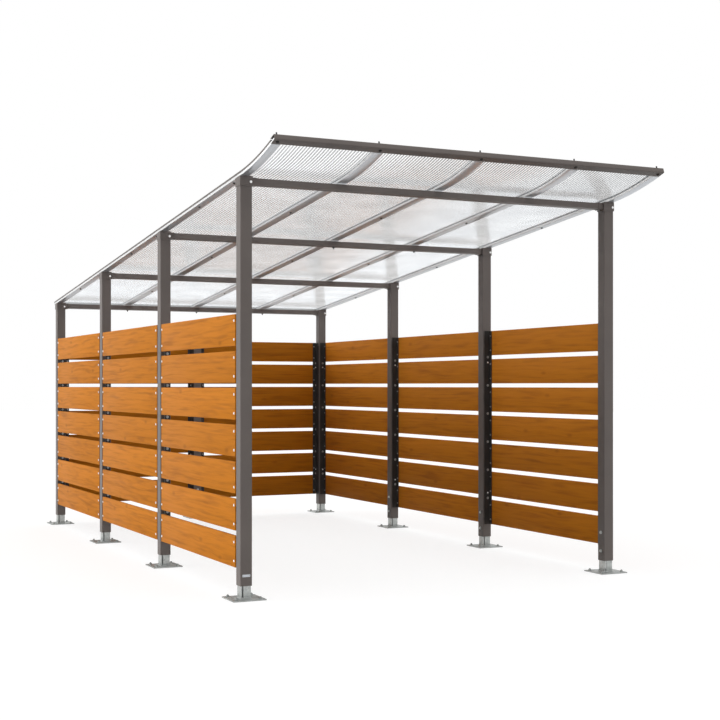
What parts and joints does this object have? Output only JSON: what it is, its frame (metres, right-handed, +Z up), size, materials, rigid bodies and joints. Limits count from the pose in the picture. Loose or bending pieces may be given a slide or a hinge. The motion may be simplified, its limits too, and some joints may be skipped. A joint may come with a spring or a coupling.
{
  "type": "open-fronted bin shelter",
  "caption": "Open-fronted bin shelter with sloping steel portal frames on bolt-down feet, slatted timber side and back walls, and a translucent roof that curves up at the front.",
  "frame": {"origin": "on the floor, under the middle of the whole outline", "axes": "+X to the right along the open front, +Y into the shelter towards the back wall, +Z up"},
  "size_m": [3.058, 5.8972, 2.9042],
  "materials": {
    "painted_steel": "umbra grey powder coat, satin",
    "black_steel": "black powder coat, satin",
    "galvanised_steel": "hot-dip galvanised",
    "stained_timber": "honey-coloured stain, satin",
    "bare_aluminium": "mill finish, semi-bright",
    "clear_plastic": "multiwall sheet, translucent"
  },
  "bodies": {
    "root": {"post_left_1": "painted_steel", "post_right_1": "painted_steel", "post_left_2": "painted_steel", "post_right_2": "painted_steel", "post_left_3": "painted_steel", "post_right_3": "painted_steel", "post_left_4": "painted_steel", "post_right_4": "painted_steel", "foot_left_1": "galvanised_steel", "foot_right_1": "galvanised_steel", "foot_left_2": "galvanised_steel", "foot_right_2": "galvanised_steel", "foot_left_3": "galvanised_steel", "foot_right_3": "galvanised_steel", "foot_left_4": "galvanised_steel", "foot_right_4": "galvanised_steel", "cross_beam_1": "painted_steel", "cross_beam_2": "painted_steel", "cross_beam_3": "painted_steel", "cross_beam_4": "painted_steel", "wall_left_1": "stained_timber", "wall_right_1": "stained_timber", "wall_left_2": "stained_timber", "wall_right_2": "stained_timber", "wall_left_3": "stained_timber", "wall_right_3": "stained_timber", "roof_rail_1": "bare_aluminium", "roof_rail_2": "bare_aluminium", "roof_rail_3": "bare_aluminium", "roof_rail_4": "bare_aluminium", "roof_rail_5": "bare_aluminium", "roof_sheet_1": "clear_plastic", "roof_sheet_2": "clear_plastic", "roof_sheet_3": "clear_plastic", "roof_sheet_4": "clear_plastic", "post_back_middle": "painted_steel", "foot_back_middle": "galvanised_steel", "wall_back_left": "stained_timber", "wall_back_right": "stained_timber", "wall_stiles": "black_steel", "post_head_brackets": "painted_steel", "roof_cover_strips": "bare_aluminium", "roof_rear_strip": "bare_aluminium", "front_fascia": "painted_steel"}
  },
  "joints": []
}
